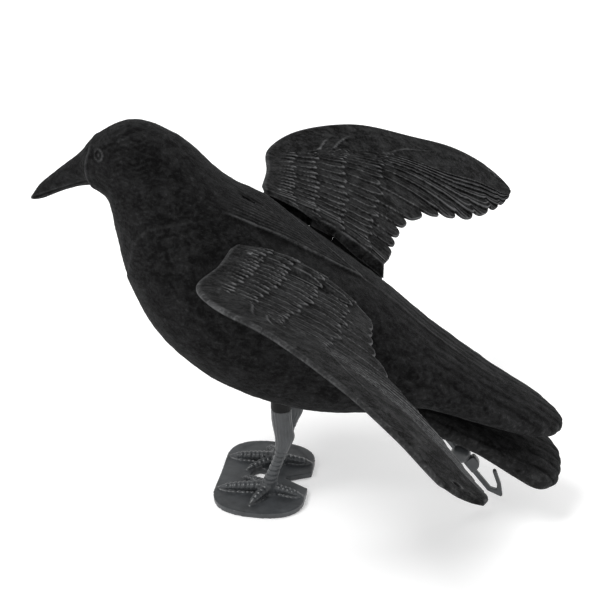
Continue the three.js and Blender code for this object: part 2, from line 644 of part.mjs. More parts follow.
function pullHook() {
  const seam = SWIVEL.seam + GAP;
  const head = [[seam, -2.2], [seam, 6.6], [8.6, 7.4], [12.5, 7.2], [15.6, 5.2], [17.2, 1.2], [17.2, -2.2]];
  const hook = [
    [15, -2.2], [36.6, -2.2], [46.2, 2.8], [46, 4.6], [37.4, 9.2], [26.2, 13], [24.6, 12.2], [24.6, 10.6],
    [35.6, 6.9], [39.6, 3.9], [36, 1.2], [15, 1.2],
  ];
  const solids = union(slabXZ(head, 6), slabXZ(hook, 3.4));
  return cut(solids, rod('x', 0, 12 + GAP, SWIVEL_BORE, 0, 0, 12));
}
addPart(rodGroup, 'pull_hook', pullHook(), GREY_PLASTIC);

export default decoy;
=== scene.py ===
"""Flocked crow decoy with moving wings: the visible surfaces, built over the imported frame."""

import json
import math

import bmesh
import bpy
import numpy as np
from mathutils import Matrix, Vector, noise
from mathutils.bvhtree import BVHTree


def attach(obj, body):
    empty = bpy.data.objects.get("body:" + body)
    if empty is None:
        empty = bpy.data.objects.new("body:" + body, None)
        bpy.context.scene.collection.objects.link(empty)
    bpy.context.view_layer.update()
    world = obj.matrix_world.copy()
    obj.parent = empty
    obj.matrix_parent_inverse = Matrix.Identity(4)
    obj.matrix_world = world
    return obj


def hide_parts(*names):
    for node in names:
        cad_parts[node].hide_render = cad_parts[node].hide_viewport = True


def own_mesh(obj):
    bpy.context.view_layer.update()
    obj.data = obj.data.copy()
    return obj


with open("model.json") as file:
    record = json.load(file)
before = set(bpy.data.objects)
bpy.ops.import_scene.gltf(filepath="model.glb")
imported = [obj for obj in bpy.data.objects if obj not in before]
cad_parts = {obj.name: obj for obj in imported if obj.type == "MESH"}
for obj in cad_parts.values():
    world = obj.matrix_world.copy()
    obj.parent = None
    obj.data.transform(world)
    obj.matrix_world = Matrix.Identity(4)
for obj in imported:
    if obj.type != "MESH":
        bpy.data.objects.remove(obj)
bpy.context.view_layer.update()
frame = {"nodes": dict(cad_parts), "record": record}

# ---------------------------------------------------------------- dimensions, in millimetres

# Back and belly lines of head and body: top x, z, bottom x, z, half width, squareness.
BODY = np.array([
    (-172, 222.5, -171, 219.5, 1.6, 2), (-164, 233.5, -161, 221.5, 4.5, 2),
    (-148, 247, -141, 230.5, 8.5, 2), (-133, 259, -126, 234.5, 12.5, 2),
    (-122, 270.5, -120, 233, 18.5, 2), (-95, 283, -111, 225, 26, 2.05),
    (-63, 272, -108.5, 207, 31.5, 2.1), (-33, 242.5, -98, 169, 47, 2.3),
    (-2, 223, -74, 130, 56, 2.5), (38, 195, -32, 99, 57, 2.6), (78, 168.5, 23, 81.5, 50, 2.5),
    (102, 148.5, 72, 83, 44, 2.4), (121, 133.5, 108, 90, 39, 2.3), (156, 110, 149, 81, 32, 2.3),
    (185, 94.5, 181, 72, 25, 2.2), (202, 84, 199, 69, 15, 2), (208.5, 78, 207, 71, 5, 2),
])
# The same for the tail lobe under the rump.
TAIL = np.array([
    (75, 106, 62, 80, 22, 2.2), (115, 91.5, 106, 69.5, 26, 2.3), (153, 74, 146, 56, 27, 2.3),
    (181, 61, 174, 41, 29.5, 2.3), (199, 52.5, 193, 31.5, 30, 2.2), (208, 45.5, 204.5, 32, 22, 2),
    (210.5, 40.5, 209.5, 36.5, 7, 2),
])
BODY_HOLLOW = (0.3, 0.86)  # the part of the body's length that is hollow
TAIL_HOLLOW = (0.02, 0.78)  # the same for the tail lobe
WALL = (3.0, 1.5)  # thickness at the front and rear of the hollow
# Edges of the right wing: x, y, z from root to tip, and where its flap lies on the back.
LEADING_EDGE = np.array([
    (-17, 53, 219), (-19, 80, 219.5), (-24.5, 114, 222.5), (-9, 143, 226.5), (31, 171, 225),
    (75, 194, 209.5), (110, 214, 193), (139, 228, 172.5), (157, 222, 160),
])
TRAILING_EDGE = np.array([
    (75, 51, 171), (77, 72, 174.5), (82, 98, 177), (97, 126, 173), (112, 142, 166),
    (129, 160, 158), (144, 183, 155), (153, 198, 154.5), (160, 212, 156.5),
])
SCAPULAR_EDGE = np.array([
    (-14, 45.5, 218.5), (9, 39, 211.5), (28, 37, 203.5), (45, 37.5, 194), (61, 39.5, 181.5),
    (74, 43, 169),
])
HINGE = {"x": 24.0, "z": 182.0, "y": 35.0, "tilt": math.radians(25)}
ROD = {"x": 138.8, "z": 41.9, "tilt": math.radians(51)}
ROD_GUIDE = {"start": -60.5, "end": -5, "radius": 4.1}  # clearance bore, along the rod
LEG_TOP = {"x": 9.5, "y": 19}
LEG_SOCKET_RADIUS = 7.8
BACK_SLOT = ((-20, -1.5, 215), (-11, 1.5, 245))
SCREWS = {"along": (-5, 5), "out": 34}  # wing screws in the hinge frame
SIDES = {"left": -1, "right": 1}


# ---------------------------------------------------------------- curves and meshes

def curve(points, t, tangents):
    """A smooth curve through the points, with t from 0 to 1 spread evenly over them."""
    points = np.asarray(points, float)
    last = len(points) - 1
    x = np.asarray(t, float) * last
    i = np.clip(x.astype(int), 0, last - 1)
    w = (x - i)[:, None]
    p1, p2 = points[i], points[i + 1]
    p0 = np.where((i > 0)[:, None], points[np.maximum(i - 1, 0)], 2 * p1 - p2)
    p3 = np.where((i < last - 1)[:, None], points[np.minimum(i + 2, last)], 2 * p2 - p1)
    m1, m2 = tangents(p0, p1, p2, p3)
    return p1 + m1 * w + (3 * (p2 - p1) - 2 * m1 - m2) * w**2 + (2 * (p1 - p2) + m1 + m2) * w**3


def uniform_curve(points, t):
    """Uniform Catmull-Rom curve."""
    return curve(points, t, lambda p0, p1, p2, p3: ((p2 - p0) / 2, (p3 - p1) / 2))


def centripetal_tangents(p0, p1, p2, p3):
    pairs = ((p0, p1), (p1, p2), (p2, p3))
    d0, d1, d2 = (np.sqrt(np.linalg.norm(b - a, axis=1))[:, None] for a, b in pairs)
    m1 = ((p1 - p0) / d0 - (p2 - p0) / (d0 + d1) + (p2 - p1) / d1) * d1
    m2 = ((p2 - p1) / d1 - (p3 - p1) / (d1 + d2) + (p3 - p2) / d2) * d1
    return m1, m2


def centripetal_curve(points, t):
    """Centripetal Catmull-Rom curve, which stays tight where the points are close together."""
    return curve(points, t, centripetal_tangents)


def make_object(name, vertices, faces):
    """A mesh object in the scene from millimetre vertices."""
    mesh = bpy.data.meshes.new(name)
    mesh.from_pydata((np.asarray(vertices, float) * 0.001).tolist(), [], faces)
    mesh.validate()
    thing = bpy.data.objects.new(name, mesh)
    bpy.context.scene.collection.objects.link(thing)
    return thing


def face_outward(thing):
    bm = bmesh.new()
    bm.from_mesh(thing.data)
    bmesh.ops.recalc_face_normals(bm, faces=bm.faces)
    bm.to_mesh(thing.data)
    bm.free()


def loft_object(name, rings):
    """A closed solid through rings of equal length, capped at both ends."""
    rings = np.asarray(rings, float)
    count, size = rings.shape[:2]
    vertices = rings.reshape(-1, 3)
    faces = []
    for i in range(count - 1):
        for j in range(size):
            k = (j + 1) % size
            faces.append((i * size + j, i * size + k, (i + 1) * size + k, (i + 1) * size + j))
    faces.append(tuple(range(size - 1, -1, -1)))
    faces.append(tuple((count - 1) * size + j for j in range(size)))
    thing = make_object(name, vertices, faces)
    face_outward(thing)
    return thing


def box_object(low, high):
    spans = list(zip(low, high))
    corners = [(x, y, z) for x in spans[0] for y in spans[1] for z in spans[2]]
    faces = [(0, 1, 3, 2), (4, 6, 7, 5), (0, 4, 5, 1), (2, 3, 7, 6), (0, 2, 6, 4), (1, 5, 7, 3)]
    thing = make_object("cutter", corners, faces)
    face_outward(thing)
    return thing


def bake(thing):
    """Applies the object's modifiers to its mesh."""
    depsgraph = bpy.context.evaluated_depsgraph_get()
    mesh = bpy.data.meshes.new_from_object(thing.evaluated_get(depsgraph))
    thing.modifiers.clear()
    thing.data = mesh


def boolean(thing, other, operation):
    """Joins, cuts or intersects with another solid, which is then removed."""
    modifier = thing.modifiers.new("boolean", "BOOLEAN")
    modifier.operation = operation
    modifier.object = other
    modifier.solver = "MANIFOLD"
    bake(thing)
    bpy.data.objects.remove(other)


def remesh(thing, size, smoothing):
    modifier = thing.modifiers.new("remesh", "REMESH")
    modifier.mode = "VOXEL"
    modifier.voxel_size = size * 0.001
    if smoothing:
        smooth = thing.modifiers.new("smooth", "SMOOTH")
        smooth.factor = 0.5
        smooth.iterations = smoothing
    bake(thing)


def coordinates(thing):
    """Vertex places in millimetres and unit normals."""
    mesh = thing.data
    places = np.zeros(len(mesh.vertices) * 3)
    mesh.vertices.foreach_get("co", places)
    normals = np.zeros(len(mesh.vertices) * 3)
    mesh.vertices.foreach_get("normal", normals)
    return places.reshape(-1, 3) * 1000, normals.reshape(-1, 3)


def set_coordinates(thing, places):
    thing.data.vertices.foreach_set("co", (places * 0.001).ravel())
    thing.data.update()


def dress(thing, material, crease):
    """Gives a piece its material and smooth shading; edges above the crease angle stay sharp."""
    for polygon in thing.data.polygons:
        polygon.use_smooth = True
    thing.data.set_sharp_from_angle(angle=math.radians(crease))
    thing.data.materials.clear()
    thing.data.materials.append(material)


def step(x, low, high):
    """Smooth step from 0 at low to 1 at high."""
    t = np.clip((x - low) / (high - low), 0, 1)
    return t * t * (3 - 2 * t)


def ripple(places, scale, seed):
    """Soft noise from -1 to 1 at the given size in millimetres."""
    shift = Vector((seed * 17.3, seed * 5.1, seed * 9.7))
    return np.array([noise.noise(Vector(p) / scale + shift) for p in places])


def hinge_matrix(side):
    turn = Matrix.Rotation(HINGE["tilt"], 4, "Y")
    return Matrix.Translation((HINGE["x"], side * HINGE["y"], HINGE["z"])) @ turn


def rod_matrix():
    return Matrix.Translation((ROD["x"], 0, ROD["z"])) @ Matrix.Rotation(ROD["tilt"], 4, "Y")


def moved(points, matrix):
    return [tuple(matrix @ Vector(p)) for p in points]


def turns(count):
    """Angles evenly round a circle."""
    return [2 * math.pi * j / count for j in range(count)]


def cylinder(axis, start, end, radius, a=0.0, b=0.0, matrix=None, segments=24):
    """A cylinder along an axis, centred at (a, b) in the other two, then moved by the matrix."""
    rings = []
    for along in (start, end):
        ring = []
        for angle in turns(segments):
            p, q = a + radius * math.cos(angle), b + radius * math.sin(angle)
            ring.append({"x": (along, p, q), "y": (p, along, q), "z": (p, q, along)}[axis])
        rings.append(ring if matrix is None else moved(ring, matrix))
    return loft_object("cutter", rings)


# ---------------------------------------------------------------- materials

def new_material(name):
    made = bpy.data.materials.new(name)
    made.use_nodes = True
    nodes, links = made.node_tree.nodes, made.node_tree.links
    return made, nodes, links, nodes["Principled BSDF"]


def noise_node(nodes, links, source, scale, detail=3.0, roughness=0.55, stretch=None):
    texture = nodes.new("ShaderNodeTexNoise")
    texture.inputs["Scale"].default_value = scale
    texture.inputs["Detail"].default_value = detail
    texture.inputs["Roughness"].default_value = roughness
    if stretch is not None:
        mapping = nodes.new("ShaderNodeMapping")
        mapping.inputs["Scale"].default_value = stretch
        links.new(source, mapping.inputs["Vector"])
        source = mapping.outputs["Vector"]
    links.new(source, texture.inputs["Vector"])
    return texture.outputs["Fac"]


def ramp(nodes, links, source, stops):
    made = nodes.new("ShaderNodeValToRGB")
    elements = made.color_ramp.elements
    while len(elements) < len(stops):
        elements.new(0.5)
    for element, (place, colour) in zip(elements, stops):
        element.position = place
        element.color = (*colour, 1)
    links.new(source, made.inputs["Fac"])
    return made.outputs["Color"]


def math_node(nodes, links, operation, a, b):
    made = nodes.new("ShaderNodeMath")
    made.operation = operation
    for socket, value in zip(made.inputs, (a, b)):
        if isinstance(value, (int, float)):
            socket.default_value = value
        else:
            links.new(value, socket)
    return made.outputs["Value"]


def stretched(nodes, links, source, low, high):
    """The source spread from low..high to 0..1."""
    made = nodes.new("ShaderNodeMapRange")
    made.inputs["From Min"].default_value = low
    made.inputs["From Max"].default_value = high
    links.new(source, made.inputs["Value"])
    return made.outputs["Result"]


def bump_node(nodes, links, height, distance, strength=1.0):
    bump = nodes.new("ShaderNodeBump")
    bump.inputs["Strength"].default_value = strength
    bump.inputs["Distance"].default_value = distance
    links.new(height, bump.inputs["Height"])
    return bump.outputs["Normal"]


def grey(value):
    return (value, value * 1.01, value * 1.03)


def flock_material(name, dark, light, sheen, nap_stretch):
    """Black velvet flock: brushed patches of nap, painted highlight on raised ridges, painted glint
    specks and fine fibre grain.
    """
    made, nodes, links, shader = new_material(name)
    place = nodes.new("ShaderNodeTexCoord").outputs["Object"]
    nap = noise_node(nodes, links, place, 120, 7, 0.74, nap_stretch)
    nap.node.inputs["Distortion"].default_value = 0.5
    speck = noise_node(nodes, links, place, 480, 4, 0.75)
    ridge = nodes.new("ShaderNodeNewGeometry").outputs["Pointiness"]
    patch = stretched(nodes, links, nap, 0.4, 0.68)
    # Painted glints: the brightest specks of the speck noise are lightened in the base colour,
    # standing in for fibres catching light.
    painted_glint_specks = stretched(nodes, links, speck, 0.5, 0.74)
    # Painted highlight: raised ridges (high pointiness) are made lighter in the base colour, standing
    # in for light catching them.
    painted_ridge_highlight = stretched(nodes, links, ridge, 0.5, 0.54)
    tone = math_node(nodes, links, "MULTIPLY", patch, 0.4)
    tone = math_node(nodes, links, "ADD", tone, math_node(nodes, links, "MULTIPLY", painted_glint_specks, 0.3))
    tone = math_node(nodes, links, "ADD", tone, math_node(nodes, links, "MULTIPLY", painted_ridge_highlight, 0.7))
    middle = 0.75 * dark + 0.25 * light
    stops = [(0.05, grey(dark)), (0.45, grey(middle)), (1.0, grey(light))]
    links.new(ramp(nodes, links, tone, stops), shader.inputs["Base Color"])
    rough = math_node(nodes, links, "MULTIPLY_ADD", speck, 0.12)
    rough.node.inputs[2].default_value = 0.8
    links.new(rough, shader.inputs["Roughness"])
    fibre = noise_node(nodes, links, place, 1500, 2, 0.7)
    height = math_node(nodes, links, "ADD", fibre, math_node(nodes, links, "MULTIPLY", speck, 1.6))
    height = math_node(nodes, links, "ADD", height, math_node(nodes, links, "MULTIPLY", nap, 2.5))
    links.new(bump_node(nodes, links, height, 0.0004, 0.8), shader.inputs["Normal"])
    shader.inputs["Sheen Weight"].default_value = sheen
    shader.inputs["Sheen Roughness"].default_value = 0.4
    shader.inputs["Sheen Tint"].default_value = (0.78, 0.8, 0.84, 1)
    shader.inputs["Specular IOR Level"].default_value = 0.08
    return made


def plastic_material(name, dark, light, roughness, tint=(1, 1, 1), grain=0.00008, gloss=0.5):
    """Moulded plastic: cloudy tone, fine texture and small scuffs."""
    made, nodes, links, shader = new_material(name)
    place = nodes.new("ShaderNodeTexCoord").outputs["Object"]
    cloud = noise_node(nodes, links, place, 60, 4, 0.6)
    fine = noise_node(nodes, links, place, 900, 3, 0.6)
    scuff = noise_node(nodes, links, place, 260, 6, 0.75, (1, 1, 0.3))
    tone = math_node(nodes, links, "ADD", math_node(nodes, links, "MULTIPLY", cloud, 0.7),
                     math_node(nodes, links, "MULTIPLY", scuff, 0.3))
    low, high = (tuple(c * t for c, t in zip(grey(v), tint)) for v in (dark, light))
    links.new(ramp(nodes, links, tone, [(0.3, low), (0.7, high)]), shader.inputs["Base Color"])
    rough = math_node(nodes, links, "MULTIPLY_ADD", scuff, 0.3)
    rough.node.inputs[2].default_value = roughness - 0.15
    links.new(rough, shader.inputs["Roughness"])
    height = math_node(nodes, links, "ADD", fine, math_node(nodes, links, "MULTIPLY", scuff, 0.5))
    links.new(bump_node(nodes, links, height, grain, 0.6), shader.inputs["Normal"])
    shader.inputs["Specular IOR Level"].default_value = gloss
    return made


def steel_material(name):
    """Plated steel with faint drawing lines."""
    made, nodes, links, shader = new_material(name)
    place = nodes.new("ShaderNodeTexCoord").outputs["Object"]
    line = noise_node(nodes, links, place, 400, 4, 0.6, (0.15, 1, 1))
    stops = [(0.3, (0.36, 0.37, 0.38)), (0.7, (0.55, 0.56, 0.58))]
    links.new(ramp(nodes, links, line, stops), shader.inputs["Base Color"])
    rough = math_node(nodes, links, "MULTIPLY_ADD", line, 0.25)
    rough.node.inputs[2].default_value = 0.2
    links.new(rough, shader.inputs["Roughness"])
    links.new(bump_node(nodes, links, line, 0.00005, 0.5), shader.inputs["Normal"])
    shader.inputs["Metallic"].default_value = 1.0
    return made


BODY_FLOCK = flock_material("body_flock", 0.0016, 0.058, 0.03, (0.75, 1.3, 1))
# The wing flock is a lighter copy of the body flock: its paler ridge tone is painted light for the
# wings facing up toward the lamps.
WING_FLOCK_PAINTED_LIGHTER = flock_material("wing_flock", 0.0010, 0.12, 0.014, (0.8, 1.2, 1))
GREY_PLASTIC = plastic_material("grey_satin_plastic", 0.02, 0.068, 0.34, (0.94, 1, 1.05), 0.00015)
BLACK_PLASTIC = plastic_material("black_moulded_plastic", 0.003, 0.007, 0.55, gloss=0.16)
WHITE_PLASTIC = plastic_material("white_plastic", 0.5, 0.62, 0.42)
STEEL = steel_material("plated_steel")
SLOT_MATERIAL = {
    "flocked_plastic": BODY_FLOCK, "grey_plastic": GREY_PLASTIC, "black_plastic": BLACK_PLASTIC,
    "white_plastic": WHITE_PLASTIC, "steel": STEEL,
}


# ---------------------------------------------------------------- body

def skin_rings(stations, slices, segments, inset=(0, 0), span=(0, 1)):
    """Rings of a body skin through its stations, inset from front to rear."""
    t = np.linspace(span[0], span[1], slices + 1)
    at = uniform_curve(stations, t)
    high = np.stack([at[:, 0], at[:, 0] * 0, at[:, 1]], 1)
    low = np.stack([at[:, 2], at[:, 0] * 0, at[:, 3]], 1)
    middle = (high + low) / 2
    depth = inset[0] + (inset[1] - inset[0]) * (t - span[0]) / (span[1] - span[0])
    up = high - middle
    length = np.linalg.norm(up, axis=1)
    up = up * ((length - depth) / length)[:, None]
    angle = 2 * np.pi * (np.arange(segments) + 0.5) / segments
    power = 2 / at[:, 5][:, None]
    rise = np.sign(np.sin(angle)) * np.abs(np.sin(angle)) ** power
    spread = np.sign(np.cos(angle)) * np.abs(np.cos(angle)) ** power
    rings = middle[:, None, :] + up[:, None, :] * rise[:, :, None]
    rings[:, :, 1] = spread * (at[:, 4] - depth)[:, None]
    return rings


def curve_distance(places, line):
    """Signed distance in the X-Z plane from a polyline, positive on its left, and how far along."""
    best = np.full(len(places), 1e9)
    sign = np.ones(len(places))
    flat = places[:, [0, 2]]
    for a, b in zip(line[:-1], line[1:]):
        a, b = np.array(a, float), np.array(b, float)
        along = np.clip(((flat - a) @ (b - a)) / ((b - a) @ (b - a)), 0, 1)
        offset = flat - (a + along[:, None] * (b - a))
        distance = np.linalg.norm(offset, axis=1)
        cross = (b - a)[0] * offset[:, 1] - (b - a)[1] * offset[:, 0]
        nearer = distance < best
        best = np.where(nearer, distance, best)
        sign = np.where(nearer, np.sign(cross), sign)
    return best * sign


SHOULDER_LINE = [
    (-93, 190), (-90.5, 199), (-88.5, 207), (-85.9, 212.7), (-81.6, 218.8), (-75.7, 223.9),
    (-66.9, 226.8), (-58.7, 229.5), (-49.6, 230.9), (-34.5, 230.7),
]


def body_relief(p, n):
    """Height of the moulded detail over the smooth body, in millimetres."""
    x, y, z = p.T
    side = np.abs(y)
    height = np.zeros(len(p))
    # Bill: a little lower than the feathered face, with a gape line.
    boundary = -122.5 - 2.2 * np.sin(np.clip((z - 240) / 24, 0, 1) * np.pi)
    bare = 1 - step(x, boundary - 0.8, boundary + 0.6)
    height -= 0.9 * bare
    height += 0.3 * np.exp(-(((x - boundary - 1.6) / 1.3) ** 2))
    gape = 221.3 + (x + 171) * 0.44
    height -= 0.45 * bare * np.exp(-(((z - gape) / 0.7) ** 2)) * step(side, 0.3, 1.2)
    # Eye ring.
    radius = np.hypot(x + 112.4, z - 264.8)
    eye = side > 8
    height += eye * 0.65 * np.exp(-(((radius - 3.2) / 0.9) ** 2))
    height += eye * (0.9 * np.exp(-((radius / 1.7) ** 2)) - 0.5 * np.exp(-((radius / 2.6) ** 4)))
    # Feathered face and crown streaks.
    face = step(x, -121, -112) * (1 - step(x, -85, -60))
    height += face * 0.05 * np.sin(z * 1.9 + 3 * np.sin(x * 0.35))
    # Shoulder tract on the breast and side.
    distance = curve_distance(p, SHOULDER_LINE)
    inside = step(-distance, -1.5, 2.5) * (side > 12) * (1 - step(x, -44, -30))
    height += 1.2 * inside * np.exp(-np.clip(-distance, 0, 60) / 22)
    # Mantle: a raised V of long fine feathers down the back.
    reach = 24 - 24 * (x + 6) / 70
    reach = np.where(x < -6, 24 + (x + 6) * -0.1, reach)
    top = step(n[:, 2], 0.25, 0.5) * step(x, -34, -8)
    across = side - np.maximum(reach, 0)
    ridge = top * (1 - step(x, 62, 80))
    height += ridge * (1.2 * (1 - step(across, -0.8, 1.4)) + 0.45 * np.exp(-((across / 1.8) ** 2)))
    striations = np.abs(np.sin(across * 1.1 + 0.8 * np.sin(x * 0.07)))
    height += ridge * 0.6 * striations * (1 - step(across, -0.5, 1))
    # Keel line along the rump.
    rump = step(x, 62, 90) * (1 - step(x, 165, 195)) * step(n[:, 2], 0.3, 0.6)
    height += 0.9 * rump * np.exp(-((y / 2.6) ** 2))
    # Folded feathers of the rump lobe.
    lobe = step(x, 60, 120) * step(z - (190 - 0.62 * x), -20, 10) * (z > 68 - 0.05 * x)
    fold = np.abs(np.sin(side * 0.42 + 0.012 * x + 0.9))
    height += 0.5 * lobe * fold
    # Tail feathers: long shallow ribs over the lower lobe.
    tail = step(x, 90, 130) * (1 - step(z - (148 - 0.47 * x), -6, 4))
    rib = np.abs(np.sin(y * 0.29 + 0.5))
    height += tail * (0.7 + 0.6 * step(x, 170, 195)) * (rib**0.6 - 0.5)
    # Back slot recess.
    height -= 0.9 * np.exp(-(((x + 15.5) / 7.5) ** 4) - (y / 3.6) ** 4) * step(z, 205, 212)
    return height


ARM_SLOT = {"half": 10.8, "reach": 30, "below": 31, "above": 38, "barrel": 4.4}


def arm_sweep(side):
    """The wedge that a wing arm sweeps through the flank, with the barrel of its hinge."""
    half, reach = ARM_SLOT["half"], ARM_SLOT["reach"]
    rest = math.atan2(4.6, 46.5 - HINGE["y"])
    start, end = rest - math.radians(ARM_SLOT["below"]), rest + math.radians(ARM_SLOT["above"])
    profile = [(side * -1.5, 0)]
    for i in range(13):
        angle = start + (end - start) * i / 12
        profile.append((side * reach * math.cos(angle), reach * math.sin(angle)))
    hinge = hinge_matrix(side)
    rings = [moved([(s, y, q) for y, q in profile], hinge) for s in (-half, half)]
    wedge = loft_object("cutter", rings)
    boolean(wedge, cylinder("x", -half, half, ARM_SLOT["barrel"], matrix=hinge), "UNION")
    return wedge


def cavity():
    """The hollow of body and tail."""
    inner = loft_object("cutter", skin_rings(BODY, 60, 48, WALL, BODY_HOLLOW))
    tail = loft_object("cutter", skin_rings(TAIL, 24, 36, (WALL[1], WALL[1]), TAIL_HOLLOW))
    boolean(inner, tail, "UNION")
    return inner


def build_body():
    """The flocked body; returns a search tree of its outer surface."""
    body = loft_object("flocked_body", skin_rings(BODY, 150, 96))
    tail = loft_object("cutter", skin_rings(TAIL, 60, 64))
    boolean(body, tail, "UNION")
    remesh(body, size=1.05, smoothing=4)
    places, normals = coordinates(body)
    height = body_relief(places, normals)
    height += 0.35 * ripple(places, 8, 1) + 0.16 * ripple(places, 3.2, 2)
    set_coordinates(body, places + normals * height[:, None])
    surface = BVHTree.FromPolygons(
        [tuple(v.co * 1000) for v in body.data.vertices],
        [tuple(f.vertices) for f in body.data.polygons],
    )
    boolean(body, cavity(), "DIFFERENCE")
    for side in SIDES.values():
        boolean(body, arm_sweep(side), "DIFFERENCE")
        socket = cylinder("z", 60, 95, LEG_SOCKET_RADIUS, LEG_TOP["x"], side * LEG_TOP["y"])
        boolean(body, socket, "DIFFERENCE")
    guide = (ROD_GUIDE["start"], ROD_GUIDE["end"], ROD_GUIDE["radius"])
    boolean(body, cylinder("x", *guide, matrix=rod_matrix()), "DIFFERENCE")
    boolean(body, box_object(*BACK_SLOT), "DIFFERENCE")
    dress(body, BODY_FLOCK, 50)
    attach(body, "decoy_body")
    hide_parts("body_shell_left", "body_shell_right")
    return surface


# ---------------------------------------------------------------- wings

FLAP_SPAN = 0.09  # how much wing parameter the flap stands for in the feather layout
LIP_SPAN = 0.04  # the same for the rolled lip between flap and flank
SWINGS = (0, 8, 16, 24)  # degrees above rest at which the wing root has to clear the flank
LIP_GAPS = (1.6, 1.9, 1.9, 1.9)  # clearance of the lip over the flank at each swing
WALL_GAPS = (1.4, 2.2, 2.2, 2.2)  # the same for the upright wall under the flap


def clears(point, surface, swings, gaps):
    """Whether a point stays above the body by the gap of every swing."""
    for swing, gap in zip(swings, gaps):
        swung = swing @ point
        hit = surface.ray_cast(Vector((swung.x, swung.y, 400)), Vector((0, 0, -1)))[0]
        if hit is not None and swung.z - hit.z < gap:
            return False
    return True


def flank_drop(points, surface, side, gaps, most):
    """How far each point may hang down and still clear the body, at rest and with the wing raised."""
    hinge = hinge_matrix(side)
    swings = [
        hinge @ Matrix.Rotation(side * math.radians(a), 4, "X") @ hinge.inverted() for a in SWINGS
    ]
    drops = []
    for point in points:
        reach = 0
        for drop in np.arange(0.5, most + 0.5, 0.5):
            if not clears(Vector(point) - Vector((0, 0, drop)), surface, swings, gaps):
                break
            reach = drop
        drops.append(reach)
    return np.convolve(np.pad(drops, 2, mode="edge"), np.ones(5) / 5, mode="valid")


def wing_centre(u, v, side, drop):
    """Middle surface of a wing: u below 0 is the flap over the flank and its lip, 1 is the tip."""
    flat_u = np.clip(u, 0, 1)
    front = centripetal_curve(LEADING_EDGE, flat_u)
    back = centripetal_curve(TRAILING_EDGE, flat_u)
    camber = (4.5 + 3.5 * np.minimum(1, 3 * flat_u)) * (1 - flat_u**3)
    place = front + (back - front) * v[:, None]
    place[:, 2] += camber * 4 * v * (1 - v)
    w = np.clip(-u / FLAP_SPAN, 0, 1)[:, None]
    within = np.clip(v, 0, 1)
    inner = centripetal_curve(SCAPULAR_EDGE, within)
    place = place + (inner - place) * w
    place[:, 2] += 2.5 * np.sin(np.pi * w[:, 0]) * np.sin(np.pi * within)
    roll = np.clip((-u - FLAP_SPAN) / LIP_SPAN, 0, 1)
    place[:, 2] -= roll**1.5 * np.interp(within, np.linspace(0, 1, len(drop)), drop)
    place[:, 1] = side * (place[:, 1] - 1.2 * np.sqrt(roll))
    return place


def line_through(u, points):
    """Straight segments through (u, value) points."""
    return np.interp(u, [p[0] for p in points], [p[1] for p in points])


# Rear edge of each row of coverts, as (along the wing, across the wing), from the front row back.
COVERTS = [
    [(-0.15, 0.2), (0.12, 0.2), (0.25, 0.18), (0.36, 0.12), (0.44, 0.04), (1, 0)],
    [
        (-0.15, 0.36), (0, 0.38), (0.12, 0.38), (0.25, 0.33), (0.36, 0.22), (0.45, 0.11),
        (0.55, 0.02), (1, 0),
    ],
    [
        (-0.15, 0.56), (0, 0.59), (0.16, 0.59), (0.27, 0.52), (0.36, 0.38), (0.46, 0.24),
        (0.58, 0.1), (1, 0),
    ],
    [
        (-0.15, 0.8), (0.2, 0.8), (0.3, 0.74), (0.38, 0.61), (0.46, 0.46), (0.56, 0.32),
        (0.7, 0.2), (1, 0.05),
    ],
]
COVERT_PITCH = [2.3, 2.0, 1.8, 1.6]  # coverts for each flight feather
# Rear edge of the plain band along the front of the wing.
LEADING_BAND = [(-0.15, 0.09), (0.2, 0.1), (0.35, 0.16), (0.5, 0.24), (0.75, 0.3), (1, 0.3)]
# How far toward the tip a feather line runs on its way to the rear edge.
SWEEP = [
    (-0.15, -0.04), (0.0, 0.02), (0.2, 0.08), (0.35, 0.15), (0.45, 0.22), (0.55, 0.34), (0.7, 0.52),
    (0.85, 0.74), (1, 0.95), (1.2, 1.2),
]
# Flight feathers counted along the rear edge.
FLIGHT_COUNT = [(-0.15, -2.2), (0.0, 0.0), (0.29, 4.2), (1.0, 11.6), (1.2, 13.5)]


def feather_landing(u, v):
    """Where the feather line through (u, v) reaches the rear edge: lines fan out from the wrist."""
    table = np.linspace(-0.15, 1.2, 300)
    reach = line_through(table, SWEEP)
    landing = np.empty_like(u)
    for level in np.unique(v):
        row = v == level
        start = np.maximum.accumulate(table - reach * (1 - level) + 1e-6 * np.arange(300))
        landing[row] = np.interp(u[row], start, table)
    return landing


